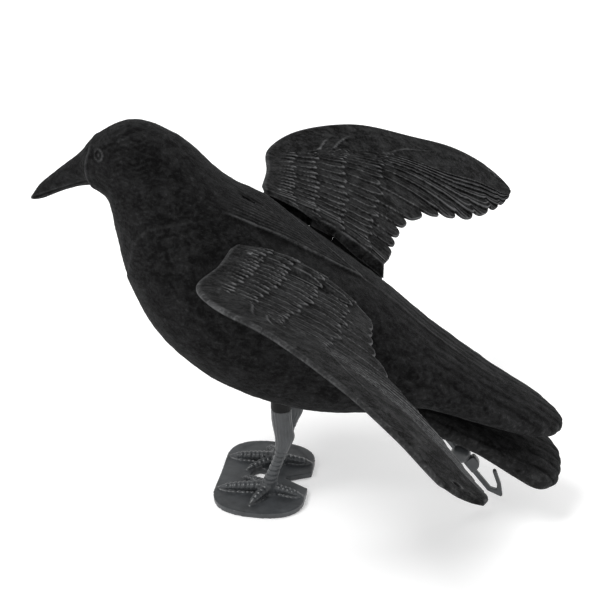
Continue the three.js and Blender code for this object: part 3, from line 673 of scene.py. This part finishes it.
def wing_relief(u, v):
    """Height of the upper side's feathers in millimetres."""
    index = line_through(feather_landing(u, v), FLIGHT_COUNT)
    f = index - np.floor(index)
    long = np.clip((v - line_through(u, COVERTS[3])) / 0.5, 0, 1)
    outer = step(u, 0.35, 0.6)
    height = 0.2 + (0.5 + 0.5 * long) * (1.25 + 0.55 * outer) * (1 - f) ** 0.8
    shaft = np.exp(-(((f - 0.45) / (0.05 + 0.03 * outer)) ** 2))
    height += (0.3 + 0.4 * outer) * shaft * (0.4 + 0.6 * long)
    height += (0.3 + 0.45 * outer) * np.exp(-((f / (0.07 + 0.04 * outer)) ** 2))
    height -= (0.45 + 0.4 * outer) * np.exp(-(((1 - f) / (0.07 + 0.03 * outer)) ** 2))
    front = np.zeros_like(u) + 0.04
    for row in range(3, -1, -1):
        front_line = line_through(u, COVERTS[row - 1]) if row else front
        rear_line = line_through(u, COVERTS[row])
        count = index * COVERT_PITCH[row] + 0.37 * row
        g = count - np.floor(count)
        wobble = 0.012 * np.sin(np.floor(count) * 2.3 + row)
        round_tip = 1 - (np.abs(2 * g - 1)) ** 2.2
        edge = rear_line - 0.07 + 0.095 * round_tip + wobble
        depth = np.clip((v - front_line) / np.maximum(rear_line - front_line, 0.03), 0, 1.3)
        vane = 0.8 * (1 - g) ** 0.8 + 0.3 * np.exp(-(((g - 0.06) / 0.08) ** 2))
        vane += 0.15 * np.exp(-(((g - 0.5) / 0.06) ** 2)) - 0.25 * np.exp(-(((1 - g) / 0.08) ** 2))
        lip = 0.4 * np.exp(-(((edge - v) / 0.018) ** 2)) * round_tip
        tongue = 0.3 + 0.25 * (3 - row) + 0.65 * depth + vane * (0.55 + 0.45 * depth) + lip
        weight = step(rear_line, 0.08, 0.22)
        height = np.where((v < edge) & (weight > 0), height + (tongue - height) * weight, height)
    band = step(v, line_through(u, LEADING_BAND) - 0.05, line_through(u, LEADING_BAND) + 0.06)
    return height * band + 1.5 * (1 - band)


def blur(grid, rounds):
    for _ in range(rounds):
        wide = np.pad(grid, 1, mode="edge")
        around = wide[:-2, 1:-1] + wide[2:, 1:-1] + wide[1:-1, :-2] + wide[1:-1, 2:]
        grid = 0.5 * grid + 0.125 * around
    return grid


def edge_spaced(count, fine, depth):
    """Parameters from 0 to 1 with a few extra close to both ends."""
    ease = np.array([0, 0.06, 0.2, 0.45, 0.75]) * depth
    inner = np.linspace(depth, 1 - depth, count)
    return np.concatenate([ease[:fine], inner, 1 - ease[:fine][::-1]])


def grid_solid(name, upper, lower):
    """A closed sheet from two grids that share their border."""
    rows, columns = upper.shape[:2]
    middle = (upper + lower) / 2
    number = np.arange(rows * columns).reshape(rows, columns)
    under = number + rows * columns
    border = np.zeros((rows, columns), bool)
    border[[0, -1], :] = True
    border[:, [0, -1]] = True
    upper = np.where(border[:, :, None], middle, upper)
    under = np.where(border, number, under)
    faces = []
    for i in range(rows - 1):
        for j in range(columns - 1):
            faces.append((number[i, j], number[i, j + 1], number[i + 1, j + 1], number[i + 1, j]))
            faces.append((under[i, j], under[i + 1, j], under[i + 1, j + 1], under[i, j + 1]))
    vertices = np.concatenate([upper.reshape(-1, 3), lower.reshape(-1, 3)])
    thing = make_object(name, vertices, [tuple(int(k) for k in face) for face in faces])
    bm = bmesh.new()
    bm.from_mesh(thing.data)
    loose = [v for v in bm.verts if not v.link_faces]
    bmesh.ops.delete(bm, geom=loose, context="VERTS")
    bmesh.ops.recalc_face_normals(bm, faces=bm.faces)
    bm.to_mesh(thing.data)
    bm.free()
    return thing


def wing_sheet(name, side, drop):
    """The feathered sheet of a wing with its flap and rolled lip."""
    root = -(FLAP_SPAN + LIP_SPAN)
    flap_u = root * edge_spaced(40, 5, 0.03)[::-1][:-6]
    u = np.concatenate([flap_u, edge_spaced(270, 5, 0.006)[5:]])
    v = edge_spaced(128, 5, 0.014)
    rows, columns = len(u), len(v)
    uu, vv = np.meshgrid(u, v, indexing="ij")
    flat_u, flat_v = uu.ravel(), vv.ravel()
    # Rounded tip, scalloped rear edge and the small shoulder in the front edge near the tip.
    tip = np.sqrt(np.clip(1 - (np.clip(flat_u - 0.955, 0, 1) / 0.045) ** 2, 0, 1))
    count = line_through(flat_u, FLIGHT_COUNT)
    f = count - np.floor(count)
    notch = 0.055 * (np.abs(2 * f - 1) ** 3) * step(flat_u, -0.02, 0.1) * (1 - step(flat_u, 0.9, 1.0))
    reach = 1.02 - notch * step(flat_v, 0.7, 1)
    shoulder = 0.045 * step(flat_u, 0.62, 0.8) * (1 - step(flat_u, 0.853, 0.868))
    span_v = flat_v * (reach + shoulder) - shoulder
    span_v = 0.5 + (span_v - 0.5) * (0.12 + 0.88 * tip)
    centre = wing_centre(flat_u, span_v, side, drop).reshape(rows, columns, 3)
    normal = np.cross(np.gradient(centre, axis=0), np.gradient(centre, axis=1))
    normal /= np.maximum(np.linalg.norm(normal, axis=2, keepdims=True), 1e-9)
    normal *= np.sign(normal[:, :, 2].mean())
    # The rim rounds off over its own width at each border.
    front = np.linalg.norm(centre - centre[:, :1], axis=2)
    back = np.linalg.norm(centre - centre[:, -1:], axis=2)
    inner = np.linalg.norm(centre - centre[:1], axis=2)
    outer = np.linalg.norm(centre - centre[-1:], axis=2)
    rim = np.minimum(np.minimum(front / 2.4, back / 0.9), np.minimum(inner / 1.0, outer / 1.6))
    roundness = np.sqrt(np.clip(1 - (1 - np.clip(rim, 0, 1)) ** 2, 0, 1))
    thick = 1.2 + 1.2 * (4 * vv * (1 - vv)) * (1 - 0.6 * np.clip(uu, 0, 1))
    height = blur(wing_relief(flat_u, flat_v).reshape(rows, columns), 1)
    # Small pit in the outer wing.
    pit = np.exp(-((np.hypot((uu - 0.875) * 130, (vv - 0.24) * 38) / 1.6) ** 4))
    height -= 2.2 * pit
    # The lip is thinner and nearly plain.
    hanging = step(-uu, 0.75 * FLAP_SPAN, FLAP_SPAN + 0.2 * LIP_SPAN)
    height *= 1 - 0.9 * hanging
    thick *= 1 - 0.4 * hanging
    # Underside: shallow vanes, and a rounded bead behind the front edge.
    landed = line_through(feather_landing(flat_u, flat_v), FLIGHT_COUNT).reshape(rows, columns)
    under = blur((landed - np.floor(landed)) ** 0.8, 1) * step(vv, 0.08, 0.3) * step(uu, -0.03, 0.05)
    bead = 1.3 * np.exp(-(((vv - 0.06) / 0.06) ** 2)) * step(uu, 0, 0.1) * (1 - step(uu, 0.7, 1))
    upper = centre + normal * (roundness * (thick / 2 + height))[:, :, None]
    lower = centre - normal * (roundness * (thick / 2 + 0.45 * under + bead))[:, :, None]
    return grid_solid(name, upper, lower)


def root_wall(side, surface, drop):
    """The upright wall under the flap, which hides the gap over the flank."""
    stations = 40
    wall_v = np.linspace(0.03, 0.97, stations)
    spots = wing_centre(np.full(stations, -0.25 * FLAP_SPAN), wall_v, side, drop)
    depths = flank_drop(spots, surface, side, WALL_GAPS, 26)
    rings = []
    for (x, y, z), depth in zip(spots, np.maximum(depths, 3)):
        foot = z - depth
        rings.append([
            (x, y - 0.7, z), (x, y + 0.7, z), (x, y + 0.7, foot + 1), (x, y, foot),
            (x, y - 0.7, foot + 1),
        ])
    return loft_object("cutter", rings)


# Section of the pocket for the arm's blade, as (out, up) in the hinge frame.
BLADE_POCKET = [
    (0, -1.7), (3, -1.7), (12.6, 3.2), (22.9, 13.8), (45.2, 13.8), (45.2, 16.6), (21.1, 16.6),
    (10.4, 6.0), (0, 2.6),
]


def build_wing(name, side, surface):
    """One flocked wing, with its screw posts and the pocket for the arm."""
    root_edge = centripetal_curve(SCAPULAR_EDGE, np.linspace(0, 1, 60)) * (1, side, 1)
    drop = flank_drop(root_edge, surface, side, LIP_GAPS, 11)
    wing = wing_sheet(name, side, drop)
    boolean(wing, root_wall(side, surface, drop), "UNION")
    hinge = hinge_matrix(side)
    screw_y = side * SCREWS["out"]
    for s in SCREWS["along"]:
        boolean(wing, cylinder("z", 16.7, 20.5, 3.4, s, screw_y, hinge), "UNION")
    pocket = [moved([(s, side * y, q) for y, q in BLADE_POCKET], hinge) for s in (-9.7, 9.7)]
    boolean(wing, loft_object("cutter", pocket), "DIFFERENCE")
    for s in SCREWS["along"]:
        boolean(wing, cylinder("z", 0, 19.3, 1.3, s, screw_y, hinge), "DIFFERENCE")
    dress(wing, WING_FLOCK_PAINTED_LIGHTER, 55)
    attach(wing, name.replace("flocked_", ""))
    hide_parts(name.replace("flocked_", ""))


# ---------------------------------------------------------------- stand

# Leg stations from the foot up: centre x, z, half length along x, half width along y.
LEG = [
    (0.5, 2, 6, 6), (0.8, 14, 5.4, 5.2), (3.5, 23.5, 4.4, 4.2), (8.6, 38, 4.3, 4.3),
    (10.5, 46, 5.4, 5), (12, 54.5, 7.1, 5.8), (10.8, 62, 7.2, 6), (9.8, 70, 7.3, 6.2),
    (9.5, 78.5, 7.2, 6.2),
]
TOE_TIPS = [(-38, 21, 4.4), (-22.5, 4.8, 3.8), (-11, 38, 4.2), (25.5, 21.5, 3.6)]  # x, y, radius
# Marks along a toe: share of its length, height and share of its radius.
TOE_MARKS = [
    (0, 9, 1), (0.25, 8.6, 0.9), (0.5, 7.6, 0.82), (0.7, 6.6, 0.74), (0.85, 5.8, 0.58),
    (0.95, 5.0, 0.42), (1, 4.3, 0.28),
]
PLATE_TOP = 4


def plate_outline():
    """The base plate, rounded at its four corners, with a notch in its rear edge."""
    def bend(a, b, c, count=14):
        t = np.linspace(0, 1, count)[:, None]
        return ((1 - t) ** 2 * a + 2 * t * (1 - t) * b + t**2 * c).tolist()

    def corner(*points):
        return bend(*(np.array(p, float) for p in points))

    outline = corner((-41, -22), (-41, -47), (-8, -47))
    outline += corner((-8, -47), (27.5, -47), (27.5, -22))[1:]
    outline += [(27.5, -10), (8, 0), (27.5, 10)]
    outline += corner((27.5, 22), (27.5, 47), (-8, 47))
    outline += corner((-8, 47), (-41, 47), (-41, 22))[1:]
    return outline


def tube_object(points, radii, segments=16):
    """A round tube through the points, with a radius at each."""
    points = [Vector(p) for p in points]
    rings = []
    for i, point in enumerate(points):
        along = (points[min(i + 1, len(points) - 1)] - points[max(i - 1, 0)]).normalized()
        across = Vector((0, 0, 1)).cross(along).normalized()
        up = along.cross(across)
        spokes = [across * math.cos(a) + up * math.sin(a) for a in turns(segments)]
        rings.append([tuple(point + spoke * radii[i]) for spoke in spokes])
    return loft_object("cutter", rings)


def stand_relief(p, n, leg, feet):
    """Height of the moulded detail of plate, toes and legs, in millimetres."""
    x, y, z = p.T
    height = np.zeros(len(p))
    # Scutes across the toes.
    upward = step(n[:, 2], -0.1, 0.4)
    above = step(z, 4.1, 5.0) * (1 - step(z, 10, 16))
    for start, tip, thick in feet:
        axis = tip - start
        length = np.linalg.norm(axis[:2])
        away = p - start
        along = (away[:, :2] @ axis[:2]) / length
        across = np.abs(away[:, 0] * axis[1] - away[:, 1] * axis[0]) / length
        on = (across < thick * 1.1) & (along > 1) & (along < length)
        scute = np.abs(np.sin(np.pi * along / 3.4)) ** 0.5
        fade = 1 - step(along, length * 0.82, length * 0.9)
        height += on * above * upward * (1.0 * scute - 0.5) * fade
    # Thigh feathers and the rings of the shank.
    leg_x = x - np.interp(z, leg[:, 1], leg[:, 0])
    leg_y = np.abs(y) - LEG_TOP["y"]
    angle = np.arctan2(leg_y, leg_x)
    on_leg = np.hypot(leg_y, leg_x) < 9
    thigh = on_leg * step(z, 44, 50) * (1 - step(z, 77, 78.5))
    height += thigh * 0.6 * (np.abs(np.sin(angle * 8 + 0.05 * z + 0.6 * np.sin(z * 0.3))) - 0.6)
    shank = on_leg * step(z, 13, 17) * (1 - step(z, 42, 46))
    height += shank * 0.7 * (np.abs(np.sin(np.pi * z / 4.2)) ** 0.5 - 0.6)
    # Crowned top of the plate, with a bead along its edge.
    plate = (z > PLATE_TOP - 1) & (z < PLATE_TOP + 0.6)
    inward = 1 - np.clip(np.hypot((x + 7) / 36, y / 48), 0, 1)
    height += plate * 0.8 * inward * step(n[:, 2], 0.5, 0.9)
    height += plate * 0.5 * np.exp(-((inward / 0.05) ** 2)) * step(n[:, 2], 0.2, 0.7)
    return height + 0.06 * ripple(p, 2.4, 5) * (z > 0.6)


def build_stand():
    """The base plate with feet and legs, in one moulding."""
    outline = plate_outline()
    plate = [[(x, y, z) for x, y in outline] for z in (0, PLATE_TOP)]
    stand = loft_object("leg_stand_moulding", plate)
    leg = uniform_curve(LEG, np.linspace(0, 1, 60))
    feet = []
    for side in SIDES.values():
        leg_y = side * LEG_TOP["y"]
        rings = [
            [(x + a * math.cos(angle), leg_y + b * math.sin(angle), z) for angle in turns(32)]
            for x, z, a, b in leg
        ]
        boolean(stand, loft_object("cutter", rings), "UNION")
        boolean(stand, cylinder("z", 70, 98, 5, LEG_TOP["x"], leg_y, segments=32), "UNION")
        for x, y, thick in TOE_TIPS:
            start, tip = np.array((0, leg_y, 9.0)), np.array((x, side * y, 4.4))
            marks = [start + (tip - start) * share for share, _, _ in TOE_MARKS]
            for mark, (_, z, _) in zip(marks, TOE_MARKS):
                mark[2] = z
            radii = [thick * k for _, _, k in TOE_MARKS]
            boolean(stand, tube_object(marks, radii), "UNION")
            feet.append((start, tip, thick))
    remesh(stand, size=0.75, smoothing=3)
    places, normals = coordinates(stand)
    height = stand_relief(places, normals, leg, feet)
    set_coordinates(stand, places + normals * height[:, None])
    # Peg hole, which opens out toward the top.
    hole = []
    for z, k in ((-3, 1), (3.1, 1), (4.2, 1.07), (6, 1.25)):
        angles = np.linspace(0, 2 * math.pi, 48, endpoint=False)
        hole.append([(-11 + 6.5 * math.cos(a) * k, 8 * math.sin(a) * k, z) for a in angles])
    boolean(stand, loft_object("cutter", hole), "DIFFERENCE")
    # Flat underside.
    places, _ = coordinates(stand)
    places[places[:, 2] < 0.35, 2] = 0
    set_coordinates(stand, places)
    dress(stand, GREY_PLASTIC, 50)
    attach(stand, "decoy_body")
    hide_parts("leg_stand")


# ---------------------------------------------------------------- swivel and hook

def lathe_object(name, profile, segments=48):
    """A solid turned round the rod's axis from (along, radius) points, in the rod frame."""
    matrix = rod_matrix()
    rings = []
    for along, radius in profile:
        ring = [(along, radius * math.cos(a), radius * math.sin(a)) for a in turns(segments)]
        rings.append(moved(ring, matrix))
    return loft_object(name, rings)


def bevelled_slab(name, outline, depth, bevel):
    """A plate of the rod frame's X-Z plane with rounded edges."""
    matrix = rod_matrix()
    rings = [moved([(u, y, v) for u, v in outline], matrix) for y in (-depth / 2, depth / 2)]
    slab = loft_object(name, rings)
    modifier = slab.modifiers.new("bevel", "BEVEL")
    modifier.width = bevel * 0.001
    modifier.segments = 4
    modifier.limit_method = "ANGLE"
    modifier.angle_limit = math.radians(35)
    bake(slab)
    return slab


BALL_RADIUS = 7.3
ROD_BORE_RADIUS = 1.6
# Outlines of the hook in the rod frame, as (along, up): its head on the swivel and its bent arm.
HOOK_HEAD = [
    (6.1, -2.2), (6.1, 6.6), (7.4, 7.2), (8.6, 7.4), (10.6, 7.5), (12.5, 7.2), (14.3, 6.4),
    (15.6, 5.2), (16.6, 3.4), (17.2, 1.2), (17.2, -2.2),
]
HOOK_ARM = [
    (15, -2.2), (36.6, -2.2), (46.2, 2.8), (46, 4.6), (37.4, 9.2), (26.2, 13), (25.1, 12.9),
    (24.6, 12.2), (24.4, 11.3), (24.6, 10.6), (35.6, 6.9), (39.6, 3.9), (36, 1.2), (15, 1.2),
]


def build_swivel():
    """The ball on the end of the rod, cut flat where the hook turns against it."""
    profile = []
    for k in range(33):
        angle = math.pi * k / 32
        along = -BALL_RADIUS * math.cos(angle)
        if along < 5.5:
            profile.append((max(along, -7.28), max(BALL_RADIUS * math.sin(angle), 0.3)))
    profile += [(5.6, 4.55), (5.8, 4.3)]
    ball = lathe_object("swivel_ball", profile)
    boolean(ball, cylinder("x", 0, 10, ROD_BORE_RADIUS, matrix=rod_matrix()), "DIFFERENCE")
    dress(ball, GREY_PLASTIC, 40)
    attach(ball, "pull_rod")
    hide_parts("swivel_housing")


def build_hook():
    """The pull hook, which turns on the swivel."""
    hook = bevelled_slab("hook_moulding", HOOK_HEAD, depth=6, bevel=0.9)
    boolean(hook, bevelled_slab("cutter", HOOK_ARM, depth=3.4, bevel=0.8), "UNION")
    boolean(hook, cylinder("x", 0, 12.3, ROD_BORE_RADIUS, matrix=rod_matrix()), "DIFFERENCE")
    dress(hook, GREY_PLASTIC, 40)
    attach(hook, "pull_hook")
    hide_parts("pull_hook")


# ---------------------------------------------------------------- return spring

SPRING = {"start": -106.0, "end": -75.3, "radius": 5.0, "wire": 0.7, "coils": 8, "travel": 9.0}
COIL_STEPS = 28


def build_spring():
    """The coil spring between collar and guide."""
    matrix = rod_matrix()
    start, end, wire = SPRING["start"], SPRING["end"], SPRING["wire"]
    steps = SPRING["coils"] * COIL_STEPS
    rings = []
    for k in range(steps + 1):
        turn = 2 * math.pi * k / COIL_STEPS
        out = Vector((0, math.cos(turn), math.sin(turn)))
        place = Vector((start + (end - start) * k / steps, 0, 0))
        place += out * SPRING["radius"]
        section = [
            place + wire * Vector((math.sin(a), out.y * math.cos(a), out.z * math.cos(a)))
            for a in np.linspace(0, 2 * math.pi, 12, endpoint=False)
        ]
        rings.append(moved(section, matrix))
    spring = loft_object("spring_coil", rings)
    dress(spring, STEEL, 50)
    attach(spring, "decoy_body")
    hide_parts("return_spring")
    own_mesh(spring)


# ---------------------------------------------------------------- assembly

body_surface = build_body()
for side_name, side_sign in SIDES.items():
    build_wing(f"flocked_wing_{side_name}", side_sign, body_surface)
build_stand()
build_swivel()
build_hook()
build_spring()

# The nodes that no piece replaces stay visible in the material of their slot.
slot_of = {row["node"]: row["material_slot"] for row in frame["record"]["subparts"]}
for node_name, node in frame["nodes"].items():
    for material_slot in node.material_slots:
        material_slot.material = SLOT_MATERIAL[slot_of[node_name]]

# ---------------------------------------------------------------- floor, light and camera

world = bpy.data.worlds.new("studio")
bpy.context.scene.world = world
world.use_nodes = True
world_nodes, world_links = world.node_tree.nodes, world.node_tree.links
# White near the horizon and grey overhead.
direction = world_nodes.new("ShaderNodeTexCoord").outputs["Generated"]
height_axis = world_nodes.new("ShaderNodeSeparateXYZ")
world_links.new(direction, height_axis.inputs["Vector"])
sky_stops = [(0.0, (1, 1, 1)), (0.22, (1, 1, 1)), (0.45, (0.48, 0.48, 0.48))]
sky = ramp(world_nodes, world_links, height_axis.outputs["Z"], sky_stops)
world_links.new(sky, world_nodes["Background"].inputs["Color"])

FLOOR_HALF = 6  # metres
FLOOR_DROP = 0.0003  # keeps the floor clear of the plate's underside
corners = [(-1, -1), (1, -1), (1, 1), (-1, 1)]
floor_mesh = bpy.data.meshes.new("floor")
floor_mesh.from_pydata([(x * FLOOR_HALF, y * FLOOR_HALF, 0) for x, y in corners], [], [(0, 1, 2, 3)])
floor = bpy.data.objects.new("floor", floor_mesh)
floor.location.z = -FLOOR_DROP
bpy.context.scene.collection.objects.link(floor)
floor_material, _, _, floor_shader = new_material("pale_floor")
floor_shader.inputs["Base Color"].default_value = (0.93, 0.93, 0.93, 1)
floor_shader.inputs["Roughness"].default_value = 0.9
floor_shader.inputs["Emission Color"].default_value = (1, 1, 1, 1)
floor_shader.inputs["Emission Strength"].default_value = 0.22
floor_mesh.materials.append(floor_material)


def softbox(name, place, spread, strength):
    """A soft, even light from the direction of a place, as from a large diffuser far away."""
    data = bpy.data.lights.new(name, "SUN")
    data.angle = math.radians(spread)
    data.energy = strength
    lamp = bpy.data.objects.new(name, data)
    lamp.rotation_euler = Vector(place).to_track_quat("Z", "Y").to_euler()
    bpy.context.scene.collection.objects.link(lamp)


softbox("key", (-0.55, -0.35, 1.1), 28, 2.0)
softbox("rim", (0.7, 0.9, 0.9), 40, 1.1)

camera_data = bpy.data.cameras.new("camera")
camera = bpy.data.objects.new("camera", camera_data)
bpy.context.scene.collection.objects.link(camera)
camera.location = (0.1572, -0.8028, 0.5907)
camera.rotation_euler = (math.radians(62), 0, math.radians(9.7))
camera_data.lens = 79.0
camera_data.sensor_width = 36.0
camera_data.clip_start = 0.01
camera_data.clip_end = 100.0
bpy.context.scene.camera = camera
bpy.context.scene.view_settings.view_transform = "Standard"
